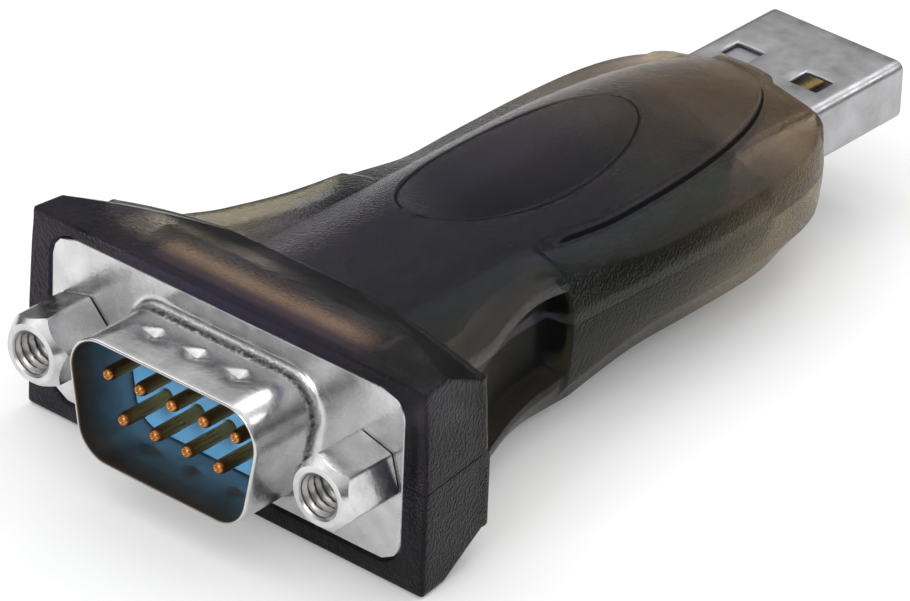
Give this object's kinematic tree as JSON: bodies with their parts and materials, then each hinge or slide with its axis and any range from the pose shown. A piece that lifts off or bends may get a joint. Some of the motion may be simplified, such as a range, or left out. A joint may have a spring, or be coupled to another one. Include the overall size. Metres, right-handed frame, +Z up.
{
  "type": "usb to serial adapter module",
  "caption": "Short rigid adapter: a waisted smoky plastic body with a male serial connector and its jackscrews in the front collar, and a flat metal USB plug at the rear.",
  "frame": {"origin": "on the supporting surface, below the middle of the bounding box", "axes": "+Y from the serial connector to the tip of the USB plug, +X to the right as the pins are faced, +Z up"},
  "size_m": [0.0348, 0.0694, 0.0151],
  "materials": {
    "smoked_plastic": "smoky translucent, fine leather-like texture",
    "nickel_plate": "bright nickel plating",
    "yellow_zinc": "yellow passivated steel",
    "blue_moulding": "vivid blue moulding",
    "gold_brass": "thin gold plating",
    "board_laminate": "green solder mask",
    "chip_resin": "matt black resin",
    "crystal_can": "bright can",
    "capacitor_ceramic": "fired ceramic",
    "resistor_glaze": "dark glaze",
    "choke_ferrite": "matt ferrite",
    "plug_steel": "satin plated steel",
    "grey_moulding": "plain grey moulding"
  },
  "bodies": {
    "root": {"upper_housing": "smoked_plastic", "lower_housing": "smoked_plastic", "serial_shell": "nickel_plate", "jackscrew_left": "nickel_plate", "jackscrew_right": "nickel_plate", "serial_rear_shell": "yellow_zinc", "jackscrew_nut_left": "yellow_zinc", "jackscrew_nut_right": "yellow_zinc", "serial_insert": "blue_moulding", "serial_pin_1": "gold_brass", "serial_pin_2": "gold_brass", "serial_pin_3": "gold_brass", "serial_pin_4": "gold_brass", "serial_pin_5": "gold_brass", "serial_pin_6": "gold_brass", "serial_pin_7": "gold_brass", "serial_pin_8": "gold_brass", "serial_pin_9": "gold_brass", "usb_contact_1": "gold_brass", "usb_contact_2": "gold_brass", "usb_contact_3": "gold_brass", "usb_contact_4": "gold_brass", "circuit_board": "board_laminate", "usb_bridge_chip": "chip_resin", "line_driver_chip": "chip_resin", "crystal": "crystal_can", "capacitor_1": "capacitor_ceramic", "capacitor_2": "capacitor_ceramic", "capacitor_3": "capacitor_ceramic", "capacitor_4": "capacitor_ceramic", "capacitor_5": "capacitor_ceramic", "capacitor_6": "capacitor_ceramic", "resistor_1": "resistor_glaze", "resistor_2": "resistor_glaze", "resistor_3": "resistor_glaze", "resistor_4": "resistor_glaze", "choke": "choke_ferrite", "usb_shell": "plug_steel", "usb_insert": "grey_moulding"}
  },
  "joints": []
}
